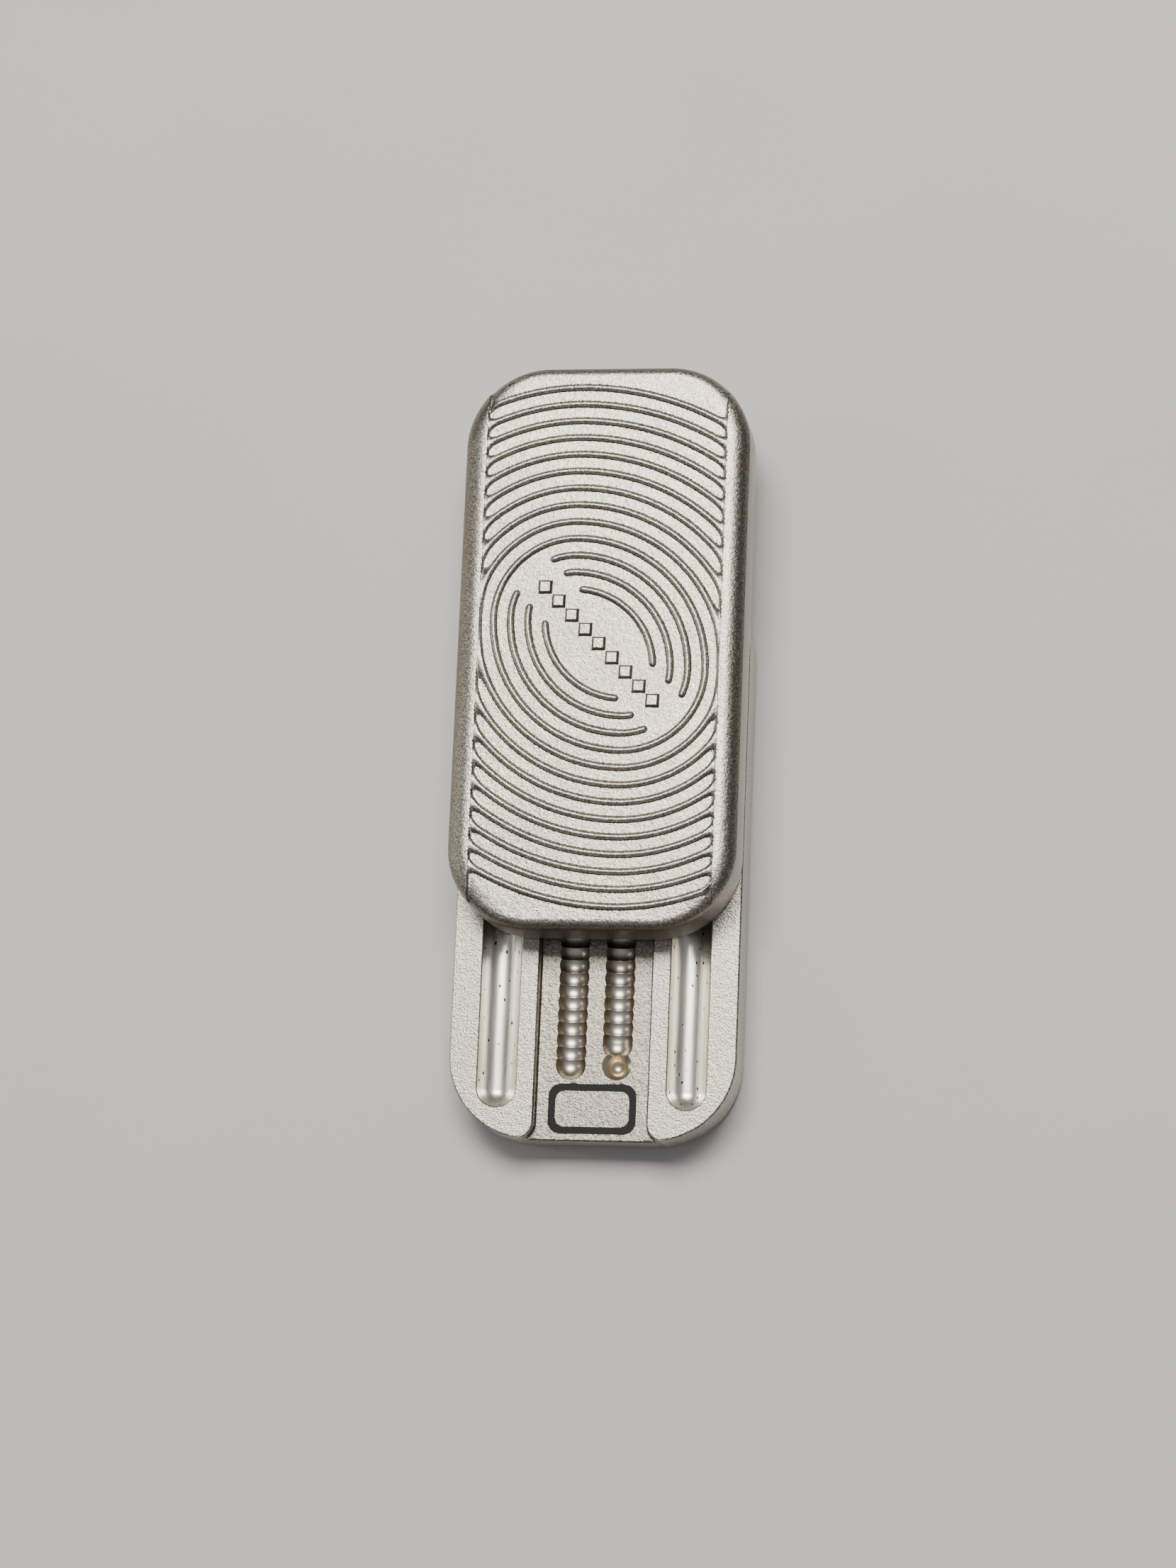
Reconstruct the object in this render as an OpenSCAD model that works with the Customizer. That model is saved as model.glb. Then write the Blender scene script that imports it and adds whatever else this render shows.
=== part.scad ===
// Pocket haptic slider: two steel plates that roll past each other on four guide balls,
// with two sprung balls that click along rows of scallops.
// +Z is up, +Y is the sliding direction. The origin is the centre of the lower plate's
// underside. The slider is drawn slid open, with the upper plate moved towards +Y.

/* [Plates] */
// Width of both plates
plate_w = 30; // [29:0.5:38]
// Length of both plates
plate_l = 60; // [58:1:76]
// Corner radius of the plates' outline
corner_r = 8.6; // [4:0.2:10]
// Thickness of the lower plate
lower_t = 6.4; // [6.2:0.1:9]
// Thickness of the upper plate
upper_t = 6.4; // [6.2:0.1:9]
// Gap between the mating faces, held by the guide balls
plate_gap = 0.3; // [0.2:0.05:0.5]

/* [Outer faces] */
// Radius of the rounded shoulder along the long sides
shoulder_r = 2.6; // [1.8:0.1:3.2]
// Height that the shoulder takes off the straight side wall
shoulder_drop = 1.1; // [0.6:0.1:1.6]
// Radius of the rounded edge across the two ends
end_r = 1.1; // [0.5:0.1:1.6]
// Depth of the shallow field that the rings stand in
field_depth = 0.45; // [0.2:0.05:0.8]
// Width of the plain border outside the field on each long side
field_border = 2.3; // [2.2:0.1:4]
// Radius of the hollow fillet at the field's sides
field_r = 0.4; // [0.1:0.05:0.45]

/* [Ring relief] */
// Distance from one ring to the next
ring_pitch = 1.82; // [1.4:0.02:2.4]
// Width of a raised ring
ring_w = 0.66; // [0.4:0.02:0.9]
// Distance of the four arc centres from the middle of the oval
ring_centre = 3.9; // [3:0.1:4.6]
// Radius of the long arcs of the innermost ring
ring_first_r = 8.55; // [8.2:0.05:9.5]
// Number of open arc pairs inside the first whole ring
arc_pairs = 3; // [2:1:3]
// Number of whole rings
whole_rings = 10; // [1:1:10]
// Distance of the open arcs' ends from the middle line of the studs
arc_gap = 2.65; // [2.2:0.05:3]
// Turn of the oval's long axis from the width direction
ring_turn = 134; // [110:1:160]
// Number of raised studs in the middle
stud_count = 9; // [3:2:9]
// Size of a raised stud across its flats
stud_size = 1.4; // [0.8:0.1:1.4]
// Distance from stud to stud
stud_pitch = 2.1; // [2.05:0.05:2.3]

/* [Guide balls] */
// Diameter of a guide ball
guide_ball_d = 4; // [3:0.1:4.4]
// Distance of each guide groove from the centre line
groove_x = 9.9; // [9:0.1:10.4]
// Distance from a plate's end to the tip of its guide grooves
groove_end = 3.25; // [2.5:0.25:6]
// Running clearance between a ball and its groove
ball_clear = 0.05; // [0.03:0.01:0.08]

/* [Detents] */
// Distance from click to click
detent_pitch = 1.3; // [1.1:0.05:1.4]
// Number of clicks from the middle to the end of the travel
clicks = 16; // [8:1:16]
// Distance of each scallop row from the centre line
row_x = 2.41; // [2.3:0.05:2.7]
// Width of a scallop at the channel floor
scallop_w = 3.1; // [2.8:0.05:3.2]
// Radius of the cutter that makes a scallop
scallop_r = 1.7; // [1.65:0.01:1.8]
// Diameter of a detent ball
detent_ball_d = 3.175; // [3:0.025:3.2]
// Extra run of the last scallop towards the parking pocket
neck_run = 0.45; // [0:0.05:0.6]
// Height of a detent ball's centre over the channel floor when it rides over a ridge
ride_h = 0.75; // [0.74:0.01:0.85]
// Radius of the parking pocket's inner bowl
bowl_r = 1.08; // [0.7:0.02:1.2]
// Depth of the parking pocket's upright rim
rim_h = 0.35; // [0.2:0.05:0.5]
// Height of the cone between the rim and the bowl
cone_h = 0.3; // [0.1:0.05:0.4]

/* [Channel and tongue] */
// Width of the channel between the lower plate's rails
channel_w = 11.8; // [11:0.1:12.4]
// Depth of the channel
channel_depth = 1.3; // [1:0.05:1.5]
// Radius of the rails' inner corners at the plate's ends
rail_corner_r = 1.8; // [0.8:0.1:2]
// Clearance of the tongue to each wall of the channel
tongue_side_clear = 0.15; // [0.1:0.05:0.3]
// Clearance of the tongue over the channel floor
tongue_floor_clear = 0.15; // [0.1:0.01:0.2]
// Length of the tongue block
tongue_l = 21; // [20:0.5:24]
// Depth that the tongue block sits in the upper plate
tongue_seat = 2.6; // [2.2:0.1:3]
// Radial room around the ball in its bore
bore_clear = 0.05; // [0.03:0.01:0.08]
// Radius of the lip that keeps the ball in
lip_r = 1.575; // [1.57:0.005:1.6]
// Height of that lip
lip_h = 0.2; // [0.1:0.05:0.25]

/* [Springs] */
// Wire diameter of a detent spring
wire_d = 0.34; // [0.25:0.01:0.4]
// Outer diameter of a detent spring
spring_d = 2.4; // [1.8:0.1:2.5]
// Number of turns
spring_turns = 5; // [3:1:6]
// Depth of the spring's hole over the tongue block
spring_hole_depth = 1.9; // [1.2:0.1:2]

/* [Magnets] */
// Diameter of a magnet
magnet_d = 6; // [4:0.25:6.5]
// Thickness of a magnet
magnet_t = 2; // [1:0.1:2]
// Distance of the inner lower magnets from the middle
lower_magnet_y = 5.5; // [4:0.25:6.5]
// Distance from a lower magnet to the next one
lower_magnet_step = 11; // [8:0.5:11]
// Distance from the tongue block to the nearest upper magnet's edge
upper_magnet_gap = 1.2; // [0.8:0.1:2]
// Distance from an upper magnet's edge to the next one's
upper_magnet_step = 0.9; // [0.6:0.1:1]
// Room around a magnet in its well
well_clear = 0.05; // [0.03:0.01:0.1]
// Distance that the upper magnets sit below the mating face
magnet_sink = 0.1; // [0.05:0.05:0.2]

/* [Base cover] */
// Distance from the lower plate's edge to the base cover
cover_margin = 3; // [2.8:0.1:4]
// Thickness of the base cover
cover_t = 1; // [0.8:0.1:1.1]
// Corner radius of the base cover
cover_r = 5.6; // [2:0.2:7]
// Gap around the base cover
cover_clear = 0.05; // [0.03:0.01:0.1]

/* [Screws] */
// Diameter of the screws' shanks
screw_d = 1.6; // [1.2:0.1:1.8]
// Diameter of the screws' heads
screw_head_d = 2.8; // [2.2:0.1:3]
// Height of the screws' heads
screw_head_h = 0.7; // [0.5:0.05:0.75]
// Length of a base screw under its head
base_screw_l = 2.4; // [1.5:0.1:2.6]
// Length of a tongue screw under its head
tongue_screw_l = 5; // [4:0.1:5.2]
// Radial room around the screws
screw_clear = 0.04; // [0.02:0.01:0.06]
// Distance of the tongue screws from the block's end
tongue_screw_inset = 2.6; // [2.4:0.1:3]
// Distance of the base screws from the cover's edge
base_screw_inset = 3; // [2.6:0.1:3.4]
// Width of the screws' hexagon sockets across the corners
socket_d = 1.3; // [0.9:0.1:1.4]
// Depth of the screws' hexagon sockets
socket_h = 0.45; // [0.3:0.05:0.5]

/* [Etched frame] */
// Width of the etched frame on the channel floor
etch_w = 9.2; // [6:0.2:9.8]
// Length of the etched frame
etch_l = 5.2; // [3:0.1:5.4]
// Corner radius of the etched frame
etch_r = 1.3; // [0.5:0.1:1.5]
// Width of the etched band
etch_band = 0.75; // [0.3:0.05:1]
// Distance of the etched frame from the plate's end
etch_end = 0.75; // [0.5:0.05:1]
// Depth of the etching
etch_depth = 0.05; // [0.03:0.01:0.1]

/* [Hidden] */
$fn = 48;

past = 1;                 // how far a cutter runs past the face it opens
travel = clicks * detent_pitch;      // from the middle to either end of the travel
face_z = lower_t;                    // lower plate's mating face
upper_z = lower_t + plate_gap;       // upper plate's mating face
floor_z = lower_t - channel_depth;   // channel floor

ring_root = 0.2;          // how far the relief reaches below the field's floor
ring_sink = 0.03;         // how far the relief's top stays below the shoulders
ring_h = field_depth + ring_root - ring_sink;
side_root = 0.15;         // how far the rings' ends reach into the border
oval_step = 5;            // degrees from one point of an oval to the next
arc_steps = 8;            // points in half of an open arc
coil_steps = 16;          // rings of points in one turn of a spring
coil_sides = 8;           // points in one of those rings

groove_r = guide_ball_d / 2 + ball_clear;
groove_z = lower_t + plate_gap / 2;
groove_half = plate_l / 2 - groove_end - groove_r;
ball_y = groove_half - travel / 2 - ball_clear / 2;

scallop_z = floor_z + sqrt(pow(scallop_r, 2) - pow(scallop_w / 2, 2));
last_scallop = clicks + 1;           // the row's last place, one click past the plunger's own
plunger_y = detent_pitch;            // the two bores are staggered by a click each way
detent_ball_r = detent_ball_d / 2;
detent_z = floor_z + ride_h;

tongue_z = floor_z + tongue_floor_clear;
tongue_w = channel_w - 2 * tongue_side_clear;
tongue_top = upper_z + tongue_seat;
tongue_r = tongue_w / 2 - 0.4;
spring_top = tongue_top + spring_hole_depth;

magnet_r = magnet_d / 2;
well_top = cover_t + magnet_t;
upper_well_top = upper_z + magnet_sink + magnet_t;
upper_magnet_y = tongue_l / 2 + upper_magnet_gap + magnet_r;
upper_magnet_next = upper_magnet_y + magnet_d + upper_magnet_step;

cover_w = plate_w - 2 * cover_margin;
cover_l = plate_l - 2 * cover_margin;
base_screw_x = cover_w / 2 - base_screw_inset;
base_screw_y = cover_l / 2 - base_screw_inset;
tongue_screw_y = tongue_l / 2 - tongue_screw_inset;

steel = [0.72, 0.71, 0.68];
bright_steel = [0.85, 0.85, 0.86];
dark_steel = [0.45, 0.45, 0.46];
bronze = [0.70, 0.55, 0.33];

// Rounded rectangle in the plane, made of true arcs
module rounded(w, l, r) {
    square([w - 2 * r, l], center = true);
    square([w, l - 2 * r], center = true);
    for (sx = [-1, 1], sy = [-1, 1])
        translate([sx * (w / 2 - r), sy * (l / 2 - r)]) circle(r);
}

// Cross-section of a plate over its width: straight walls and two rounded shoulders
module width_section(t) {
    shoulder_x = plate_w / 2 - sqrt(pow(shoulder_r, 2) - pow(shoulder_r - shoulder_drop, 2));
    translate([-plate_w / 2, 0]) square([plate_w, t - shoulder_drop]);
    translate([-shoulder_x, 0]) square([2 * shoulder_x, t]);
    for (s = [-1, 1]) intersection() {
        translate([s * shoulder_x, t - shoulder_r]) circle(shoulder_r);
        translate([-plate_w / 2, 0]) square([plate_w, t]);
    }
}

// Cross-section of a plate over its length: straight ends with a rounded top edge
module length_section(t, r) {
    translate([-plate_l / 2, 0]) square([plate_l, t - r]);
    translate([-plate_l / 2 + r, 0]) square([plate_l - 2 * r, t]);
    for (s = [-1, 1]) translate([s * (plate_l / 2 - r), t - r]) circle(r);
}

// Solid plate with its mating face on z = 0 and its outer face at z = t
module plate_blank(t, r) {
    intersection() {
        linear_extrude(t) rounded(plate_w, plate_l, corner_r);
        rotate([90, 0, 0]) translate([0, 0, -plate_l / 2]) linear_extrude(plate_l) width_section(t);
        rotate([90, 0, 90]) translate([0, 0, -plate_w / 2]) linear_extrude(plate_w) length_section(t, r);
    }
}

// Round-ended groove along Y around the origin
module groove_cutter() {
    rotate([90, 0, 0]) translate([0, 0, -groove_half]) cylinder(r = groove_r, h = 2 * groove_half);
    for (s = [-1, 1]) translate([0, s * groove_half, 0]) sphere(groove_r);
}

module both_grooves() {
    for (s = [-1, 1]) translate([s * groove_x, 0, 0]) groove_cutter();
}

// One row of scallops along Y, with its parking pocket at the -Y end
module row_cutter() {
    rotate([90, 0, 0]) rotate_extrude() intersection() {
        union() {
            for (k = [-last_scallop : last_scallop - 2])
                translate([0, k * detent_pitch]) circle(scallop_r);
            translate([0, (last_scallop - 2) * detent_pitch + neck_run]) circle(scallop_r);
        }
        translate([0, -plate_l / 2]) square([2 * scallop_r, plate_l]);
    }
    translate([0, -last_scallop * detent_pitch, floor_z - scallop_z]) parking_cutter();
}

// Parking pocket below z = 0: an upright rim, a short cone and a round bowl
module parking_cutter() {
    translate([0, 0, -rim_h]) cylinder(d = scallop_w, h = rim_h + channel_depth);
    translate([0, 0, -rim_h - cone_h]) cylinder(r1 = bowl_r, r2 = scallop_w / 2, h = cone_h);
    translate([0, 0, -rim_h - cone_h]) sphere(bowl_r);
}

// The channel, open at both ends, where the rails' inner corners are rounded
module channel_cutter() {
    translate([0, 0, floor_z]) linear_extrude(channel_depth + past) {
        square([channel_w, plate_l + 2 * past], center = true);
        for (sx = [-1, 1], sy = [-1, 1])
            translate([sx * channel_w / 2, sy * plate_l / 2]) difference() {
                square(2 * rail_corner_r, center = true);
                translate([sx * rail_corner_r, -sy * rail_corner_r]) circle(rail_corner_r);
                translate([sx * rail_corner_r, -sy * rail_corner_r / 2])
                    square([2 * rail_corner_r, rail_corner_r], center = true);
            }
    }
}

module etch_cutter() {
    translate([0, -plate_l / 2 + etch_end + etch_l / 2, floor_z - etch_depth])
        linear_extrude(etch_depth + past) difference() {
            rounded(etch_w, etch_l, etch_r);
            rounded(etch_w - 2 * etch_band, etch_l - 2 * etch_band, etch_r - etch_band / 2);
        }
}

module lower_magnet_places() {
    for (y = [-1, 1] * lower_magnet_y) translate([0, y, 0]) children();
    for (y = [-1, 1] * (lower_magnet_y + lower_magnet_step)) translate([0, y, 0]) children();
}

module base_screw_places() {
    for (sx = [-1, 1], sy = [-1, 1]) translate([sx * base_screw_x, sy * base_screw_y, 0]) children();
}

module lower_plate() {
    color(steel) difference() {
        translate([0, 0, lower_t]) mirror([0, 0, 1]) plate_blank(lower_t, end_r);
        translate([0, 0, groove_z]) both_grooves();
        channel_cutter();
        translate([row_x, 0, scallop_z]) row_cutter();
        translate([-row_x, 0, scallop_z]) rotate([0, 0, 180]) row_cutter();
        etch_cutter();
        translate([0, 0, -past]) linear_extrude(cover_t + past) rounded(cover_w, cover_l, cover_r);
        lower_magnet_places() cylinder(r = magnet_r + well_clear, h = well_top);
        base_screw_places() cylinder(d = screw_d + 2 * screw_clear, h = screw_head_h + base_screw_l);
    }
}

module base_cover() {
    color(steel) difference() {
        linear_extrude(cover_t) rounded(cover_w - 2 * cover_clear, cover_l - 2 * cover_clear, cover_r);
        base_screw_places() {
            translate([0, 0, -past]) cylinder(d = screw_d + 2 * screw_clear, h = cover_t + 2 * past);
            translate([0, 0, -past]) cylinder(d = screw_head_d + 2 * screw_clear, h = screw_head_h + past);
        }
    }
}

// Cap screw standing on its head's outer face, with its shank up
module screw(shank_l) {
    difference() {
        union() {
            cylinder(d = screw_head_d, h = screw_head_h);
            cylinder(d = screw_d, h = screw_head_h + shank_l - screw_clear);
        }
        translate([0, 0, -past]) cylinder(d = socket_d, h = socket_h + past, $fn = 6);
    }
}

module base_screws() {
    color(dark_steel) base_screw_places() screw(base_screw_l);
}

module magnet() {
    cylinder(r = magnet_r, h = magnet_t);
}

module lower_magnet(y) {
    color(bright_steel) translate([0, y, well_top - magnet_t]) magnet();
}

// Everything that moves with the upper plate is drawn around its own middle, then slid open
module slid() {
    translate([0, travel, 0]) children();
}

// Point of a four-centred oval where its normal has direction a. The long arcs have radius r
function oval_point(r, a) =
    abs(sin(a)) >= abs(cos(a))
        ? [r * cos(a), r * sin(a) - ring_centre * sign(sin(a))]
        : let (end_arc_r = r - ring_centre * sqrt(2))
            [end_arc_r * cos(a) + ring_centre * sign(cos(a)), end_arc_r * sin(a)];

module oval(r) {
    polygon([for (a = [0 : oval_step : 360 - oval_step]) oval_point(r, a)]);
}

// Whole oval ring number n
module oval_ring(n) {
    r = ring_first_r + n * ring_pitch;
    linear_extrude(ring_h) difference() {
        oval(r + ring_w / 2);
        oval(r - ring_w / 2);
    }
}

// Direction in which an open arc ends, on a line beside the studs
function arc_end(r) =
    let (a = asin((arc_gap + ring_centre) / r))
    a >= 45 ? a : asin(arc_gap / (r - ring_centre * sqrt(2)));

// Open pair number n
module arc_pair(n) {
    r = ring_first_r + n * ring_pitch;
    half = 90 - arc_end(r);
    for (s = [0, 180]) rotate([0, 0, s]) linear_extrude(ring_h)
        polygon(concat(
            [for (i = [-arc_steps : arc_steps]) oval_point(r + ring_w / 2, 90 + half * i / arc_steps)],
            [for (i = [-arc_steps : arc_steps]) oval_point(r - ring_w / 2, 90 - half * i / arc_steps)]));
}

module studs() {
    for (k = [-(stud_count - 1) / 2 : (stud_count - 1) / 2])
        translate([k * stud_pitch, 0, ring_h / 2]) rotate([0, 0, 45])
            cube([stud_size, stud_size, ring_h], center = true);
}

module relief() {
    intersection() {
        rotate([0, 0, ring_turn]) {
            for (n = [0 : arc_pairs - 1]) arc_pair(n);
            for (n = [arc_pairs : arc_pairs + whole_rings - 1]) oval_ring(n);
            studs();
        }
        translate([0, 0, ring_h / 2])
            cube([plate_w - 2 * (field_border - side_root), plate_l - 2 * (end_r + ring_w), ring_h],
                center = true);
    }
}

// The shallow field, open at both ends, with hollow fillets along its sides
module field_cutter() {
    half_w = plate_w / 2 - field_border;
    rotate([90, 0, 0]) translate([0, 0, -plate_l / 2 - past]) linear_extrude(plate_l + 2 * past) {
        translate([-half_w + field_r, 0]) square([2 * (half_w - field_r), field_depth + past]);
        translate([-half_w, field_r]) square([2 * half_w, field_depth + past - field_r]);
        for (s = [-1, 1]) translate([s * (half_w - field_r), field_r]) circle(field_r);
    }
}

module upper_magnet_places() {
    for (y = [-1, 1] * upper_magnet_y) translate([0, y, 0]) children();
    for (y = [-1, 1] * upper_magnet_next) translate([0, y, 0]) children();
}

// The two plunger bores: the left one is a click towards +Y, the right one towards -Y
module plunger_places() {
    for (s = [-1, 1]) translate([s * row_x, -s * plunger_y, 0]) children();
}

module tongue_outline(grow) {
    rounded(tongue_w + 2 * grow, tongue_l + 2 * grow, tongue_r);
}

module upper_plate() {
    color(steel) slid() {
        difference() {
            translate([0, 0, upper_z]) {
                difference() {
                    plate_blank(upper_t, end_r + field_depth);
                    translate([0, 0, upper_t - field_depth]) field_cutter();
                }
                translate([0, 0, upper_t - field_depth - ring_root]) relief();
            }
            translate([0, 0, groove_z]) both_grooves();
            translate([0, 0, upper_z - past]) linear_extrude(tongue_seat + past)
                tongue_outline(well_clear);
            plunger_places() translate([0, 0, tongue_top - past])
                cylinder(d = spring_d + 2 * bore_clear, h = spring_hole_depth + past);
            upper_magnet_places() translate([0, 0, upper_z - past])
                cylinder(r = magnet_r + well_clear, h = magnet_sink + magnet_t + past);
            tongue_screw_places() cylinder(d = screw_d + 2 * screw_clear, h = screw_head_h + tongue_screw_l);
        }
    }
}

module tongue_screw_places() {
    for (s = [-1, 1]) translate([0, s * tongue_screw_y, tongue_z]) children();
}

module tongue_block() {
    color(bronze) slid() difference() {
        translate([0, 0, tongue_z]) linear_extrude(tongue_top - tongue_z) tongue_outline(0);
        plunger_places() {
            translate([0, 0, tongue_z - past]) cylinder(r = lip_r, h = lip_h + 2 * past);
            translate([0, 0, tongue_z + lip_h])
                cylinder(r = detent_ball_r + bore_clear, h = tongue_top - tongue_z);
        }
        tongue_screw_places() translate([0, 0, -past]) {
            cylinder(d = screw_head_d + 2 * screw_clear, h = screw_head_h + past);
            cylinder(d = screw_d + 2 * screw_clear, h = tongue_top - tongue_z + 2 * past);
        }
    }
}

module tongue_screws() {
    color(dark_steel) slid() tongue_screw_places() screw(tongue_screw_l);
}

module upper_magnet(y) {
    color(bright_steel) slid() translate([0, y, upper_well_top - magnet_t]) magnet();
}

// Guide ball sx, sy: it has rolled half as far as the upper plate has slid
module guide_ball(sx, sy) {
    color(bright_steel) translate([sx * groove_x, sy * ball_y + travel / 2, groove_z])
        sphere(d = guide_ball_d);
}

module detent_ball(s) {
    color(bright_steel) slid() translate([s * row_x, -s * plunger_y, detent_z]) sphere(detent_ball_r);
}

// Helical compression spring between the ball's top and the end of its hole
module detent_spring(s) {
    low = detent_z + detent_ball_r + wire_d / 2 + bore_clear;
    high = spring_top - wire_d / 2;
    coil_r = (spring_d - wire_d) / 2;
    color(dark_steel) slid() translate([s * row_x, -s * plunger_y, low]) coil(coil_r, high - low);
}

function coil_point(i, j, r, h) =
    let (a = 360 * i / coil_steps, b = 360 * j / coil_sides,
        u = i / (coil_steps * spring_turns))
    [(r + wire_d / 2 * cos(b)) * cos(a), (r + wire_d / 2 * cos(b)) * sin(a),
        h * u + wire_d / 2 * sin(b)];

// A wire swept along a helix from z = 0 to z = h
module coil(r, h) {
    n = coil_steps * spring_turns;
    points = [for (i = [0 : n], j = [0 : coil_sides - 1]) coil_point(i, j, r, h)];
    sides = [for (i = [0 : n - 1], j = [0 : coil_sides - 1])
        let (k = (j + 1) % coil_sides)
        [i * coil_sides + j, (i + 1) * coil_sides + j, (i + 1) * coil_sides + k, i * coil_sides + k]];
    first = [for (j = [0 : coil_sides - 1]) j];
    last = [for (j = [coil_sides - 1 : -1 : 0]) n * coil_sides + j];
    polyhedron(points, concat([first], [last], sides), convexity = 8);
}

lower_plate();
base_cover();
base_screws();
lower_magnet(-lower_magnet_y - lower_magnet_step);  // lower_magnet_1
lower_magnet(-lower_magnet_y);  // lower_magnet_2
lower_magnet(lower_magnet_y);  // lower_magnet_3
lower_magnet(lower_magnet_y + lower_magnet_step);  // lower_magnet_4
upper_plate();
tongue_block();
tongue_screws();
upper_magnet(-upper_magnet_next);  // upper_magnet_1
upper_magnet(-upper_magnet_y);  // upper_magnet_2
upper_magnet(upper_magnet_y);  // upper_magnet_3
upper_magnet(upper_magnet_next);  // upper_magnet_4
guide_ball(-1, -1);  // guide_ball_1
guide_ball(-1, 1);  // guide_ball_2
guide_ball(1, -1);  // guide_ball_3
guide_ball(1, 1);  // guide_ball_4
detent_ball(-1);  // detent_ball_left
detent_ball(1);  // detent_ball_right
detent_spring(-1);  // detent_spring_left
detent_spring(1);  // detent_spring_right
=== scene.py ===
"""Looks of the pocket haptic slider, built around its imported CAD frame."""

import math

import bpy
import numpy as np
from mathutils import Matrix, Vector, geometry


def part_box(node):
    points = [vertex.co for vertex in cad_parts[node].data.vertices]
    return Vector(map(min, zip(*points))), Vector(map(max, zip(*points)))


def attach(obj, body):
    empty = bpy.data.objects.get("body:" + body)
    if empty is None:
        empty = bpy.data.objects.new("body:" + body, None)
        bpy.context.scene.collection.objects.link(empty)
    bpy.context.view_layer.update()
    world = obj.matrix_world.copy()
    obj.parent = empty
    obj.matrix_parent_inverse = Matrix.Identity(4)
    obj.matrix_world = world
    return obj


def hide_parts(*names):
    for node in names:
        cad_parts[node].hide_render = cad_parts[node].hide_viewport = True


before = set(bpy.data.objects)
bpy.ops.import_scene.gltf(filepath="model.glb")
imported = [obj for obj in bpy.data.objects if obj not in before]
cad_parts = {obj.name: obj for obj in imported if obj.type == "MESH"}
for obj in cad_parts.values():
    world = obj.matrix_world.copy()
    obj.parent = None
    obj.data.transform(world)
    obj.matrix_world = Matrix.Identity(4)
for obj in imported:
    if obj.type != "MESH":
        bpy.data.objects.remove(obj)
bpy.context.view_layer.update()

MM = 0.001  # shapes are worked out in mm and written in metres


def box_mm(node):
    lo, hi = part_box(node)
    return np.array(lo) / MM, np.array(hi) / MM


def middle(node):
    lo, hi = box_mm(node)
    return (lo + hi) / 2


LOWER_LO, LOWER_HI = box_mm("lower_plate")
UPPER_LO, UPPER_HI = box_mm("upper_plate")
COVER_LO, COVER_HI = box_mm("base_cover")
TONGUE_LO, TONGUE_HI = box_mm("tongue_block")
HALF_W = (LOWER_HI[0] - LOWER_LO[0]) / 2
HALF_L = (LOWER_HI[1] - LOWER_LO[1]) / 2
SLID = (UPPER_LO[1] + UPPER_HI[1]) / 2  # how far the upper plate is drawn from the middle
FACE_Z = LOWER_HI[2]
MATING_Z = UPPER_LO[2]
TOP_Z = UPPER_HI[2]

CORNER_R = 8.6
SHOULDER_R, SHOULDER_W = 2.6, 2.12
END_R = 1.1
CHAMFER = 0.16  # small bright edges all over
WALL = 0.03  # how far an upright wall leans in, as a height has to be single valued

FIELD_DEPTH = 0.45
FIELD_HALF = 12.7
FIELD_R = 0.45
FIELD_STEPS = (0.0, 0.03, 0.08, 0.15, 0.23, 0.32, FIELD_R)
BORDER_BLEND = 0.24  # how softly the beads run into the field's side

RING_PITCH, RING_FIRST, RING_CENTRE = 1.82, 8.55, 3.9
RING_HALF, RING_H = 0.35, 0.42
CUSP_REACH, CUSP_WIDTH = 1.3, 0.5  # a bead widens where it meets the field's side
BEAD_END, BEAD_FADE = 0.95, 0.6  # where the beads run out before the plate's ends
RING_TURN = math.radians(134)
ARC_PAIRS, LAST_RING = 3, 12
ARC_GAP = 2.65  # from the studs' middle line to the open arcs' ends
STUDS, STUD_PITCH, STUD_HALF = 9, 2.1, 0.7
STUD_BEVEL, STUD_FOOT = 0.22, 0.08

GROOVE_X = middle("guide_ball_4")[0]
GROOVE_R, GROOVE_RIM = 2.05, 0.1
GROOVE_Z = middle("guide_ball_4")[2]
GROOVE_HALF = 24.7  # half length of a groove's straight part

ROW_X = middle("detent_ball_right")[0]
PITCH = 1.3  # from click to click
CUP_R, CUP_RIM = 1.7, 1.55
FLOOR_Z = 5.1
CUP_Z = FLOOR_Z + math.sqrt(CUP_R**2 - CUP_RIM**2)
LAST_CUP = 17
PARK_Y = -LAST_CUP * PITCH
FIRST_CUP = 2 - LAST_CUP  # the parking pocket takes the places beyond it
NECK_Y = -19.95  # the scallop drawn out towards the parking pocket
BOWL_R, BOWL_Z, RIM_Z = 1.08, 4.45, 4.75
RIDGE_BLEND, ROW_BLEND = 0.035, 0.04  # rounding of the ridges and of the rows' edges

CHANNEL_HALF, RAIL_R = 5.9, 1.8
ETCH_HALF_W, ETCH_HALF_L, ETCH_R = 4.6, 2.6, 1.3
ETCH_BAND = 0.75
ETCH_END = 0.75  # from the plate's end to the etched frame
ETCH_Y = -HALF_L + ETCH_END + ETCH_HALF_L
ETCH_DEPTH, ETCH_RAMP = 0.05, 0.02


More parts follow.
